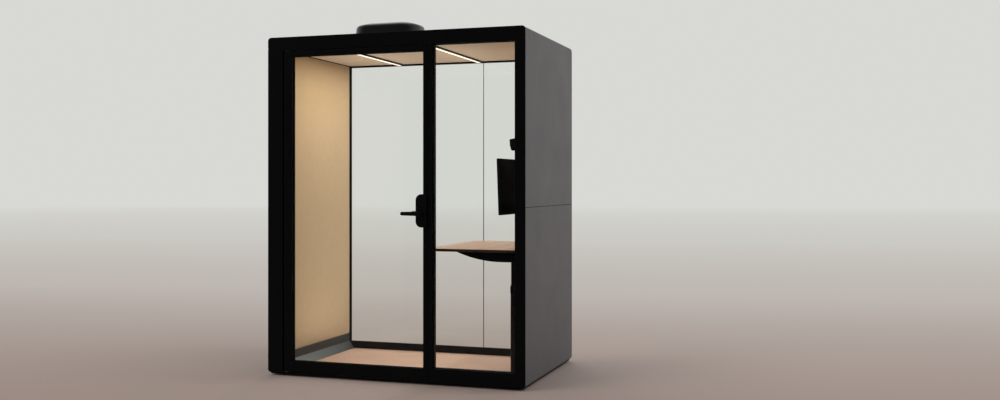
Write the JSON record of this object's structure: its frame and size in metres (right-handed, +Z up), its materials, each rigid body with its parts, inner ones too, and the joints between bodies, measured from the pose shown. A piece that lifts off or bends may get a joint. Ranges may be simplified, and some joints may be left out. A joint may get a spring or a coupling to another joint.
{
  "type": "acoustic office pod",
  "caption": "Free-standing glazed work cabin with felt-lined side walls, an outward-opening glass door, a lifting desk, a wall display with camera, ceiling lights and a roof fan.",
  "frame": {"origin": "on the floor, in the middle of the base plate's underside", "axes": "+Z up, -Y is the glass front with the door, +X is the viewer's right when facing the front, where the desk and display are"},
  "size_m": [1.8, 1.224, 2.403],
  "materials": {
    "frame_black": "satin black powder coat",
    "base_black": "black laminated board",
    "panel_grey": "fine-textured grey powder coat",
    "wall_felt": "pressed felt, warm beige",
    "ceiling_felt": "pressed felt, beige",
    "skirting_grey": "satin dark grey",
    "carpet": "short loop pile, reddish brown",
    "clear_glass": "clear laminated glass",
    "seal_rubber": "black rubber",
    "glass_joint": "clear grey silicone",
    "light_metal": "bronze-grey anodised",
    "light_diffuser": "opal, lit",
    "vent_plastic": "black moulded plastic, slight sheen",
    "lock_plastic": "satin black",
    "lever_metal": "satin black",
    "pivot_steel": "brushed",
    "desk_oak": "oiled oak veneer",
    "desk_metal": "black powder coat",
    "column_steel": "black powder coat",
    "bracket_metal": "black powder coat",
    "display_plastic": "satin black",
    "screen_glass": "dark gloss screen, off"
  },
  "bodies": {
    "cabin": {"front_post_left": "frame_black", "front_post_right": "frame_black", "front_mullion": "frame_black", "front_top_rail": "frame_black", "front_bottom_rail": "frame_black", "door_threshold": "frame_black", "back_bottom_rail": "frame_black", "back_top_channel": "frame_black", "back_channel_left": "frame_black", "back_channel_right": "frame_black", "base_tray": "base_black", "roof_deck": "base_black", "left_panel_lower": "panel_grey", "left_panel_upper": "panel_grey", "right_panel_lower": "panel_grey", "right_panel_upper": "panel_grey", "left_acoustic_panel": "wall_felt", "right_acoustic_panel": "wall_felt", "ceiling_panel": "ceiling_felt", "left_skirting": "skirting_grey", "right_skirting": "skirting_grey", "floor_carpet": "carpet", "front_glass": "clear_glass", "back_glass_left": "clear_glass", "back_glass_right": "clear_glass", "door_seal": "seal_rubber", "back_glass_joint": "glass_joint", "light_housing_left": "light_metal", "light_housing_right": "light_metal", "light_diffuser_left": "light_diffuser", "light_diffuser_right": "light_diffuser", "vent_base": "vent_plastic", "vent_cover": "vent_plastic", "door_pivot_upper": "pivot_steel", "door_pivot_lower": "pivot_steel", "display_pin": "pivot_steel", "desk_column_outer_front": "column_steel", "desk_column_outer_rear": "column_steel", "av_bracket": "bracket_metal"},
    "door": {"door_stile_hinge": "frame_black", "door_stile_lock": "frame_black", "door_rail_top": "frame_black", "door_rail_bottom": "frame_black", "door_glass": "clear_glass", "lock_cover_outer": "lock_plastic", "lock_cover_inner": "lock_plastic"},
    "levers": {"lever_outer": "lever_metal", "lever_inner": "lever_metal"},
    "latch": {"latch_bolt": "pivot_steel"},
    "desk": {"desk_top": "desk_oak", "desk_frame": "desk_metal", "desk_column_inner_front": "column_steel", "desk_column_inner_rear": "column_steel", "desk_control": "display_plastic"},
    "button_up": {"desk_button_up": "display_plastic"},
    "button_down": {"desk_button_down": "display_plastic"},
    "fan": {"vent_fan": "vent_plastic"},
    "display": {"display_housing": "display_plastic", "display_screen": "screen_glass"},
    "camera": {"camera_body": "display_plastic"}
  },
  "joints": [
    {"name": "door_swing", "type": "hinge", "parent": "cabin", "child": "door", "pos_m": [-0.7665, -0.553, 1.1], "axis": [0, 0, -1], "range_deg": [0, 90]},
    {"name": "lever_turn", "type": "hinge", "parent": "door", "child": "levers", "pos_m": [0.214, -0.553, 1.09], "axis": [0, -1, 0], "range_deg": [0, 40], "stiffness_Nm_per_rad": 1.5, "springref_deg": -22.92},
    {"name": "latch_slide", "type": "slide", "parent": "door", "child": "latch", "axis": [-1, 0, 0], "range_m": [0, 0.0131]},
    {"name": "desk_lift", "type": "slide", "parent": "cabin", "child": "desk", "axis": [0, 0, 1], "range_m": [-0.14, 0.18]},
    {"name": "button_up_press", "type": "slide", "parent": "desk", "child": "button_up", "axis": [1, 0, 0], "range_m": [0, 0.0015], "stiffness_N_per_m": 800, "springref_m": -0.0005},
    {"name": "button_down_press", "type": "slide", "parent": "desk", "child": "button_down", "axis": [1, 0, 0], "range_m": [0, 0.0015], "stiffness_N_per_m": 800, "springref_m": -0.0005},
    {"name": "fan_spin", "type": "hinge", "parent": "cabin", "child": "fan", "pos_m": [-0.265, 0, 2.29], "axis": [0, 0, 1], "continuous": true},
    {"name": "display_tilt", "type": "hinge", "parent": "cabin", "child": "display", "pos_m": [0.705, 0, 1.2615], "axis": [0, 1, 0], "range_deg": [-5, 15]},
    {"name": "camera_tilt", "type": "hinge", "parent": "cabin", "child": "camera", "pos_m": [0.676, 0, 1.548], "axis": [0, 1, 0], "range_deg": [-15, 15]}
  ],
  "couplings": [
    {"joint": "latch_slide", "follows": "lever_turn", "m_per_rad": 0.01862}
  ]
}
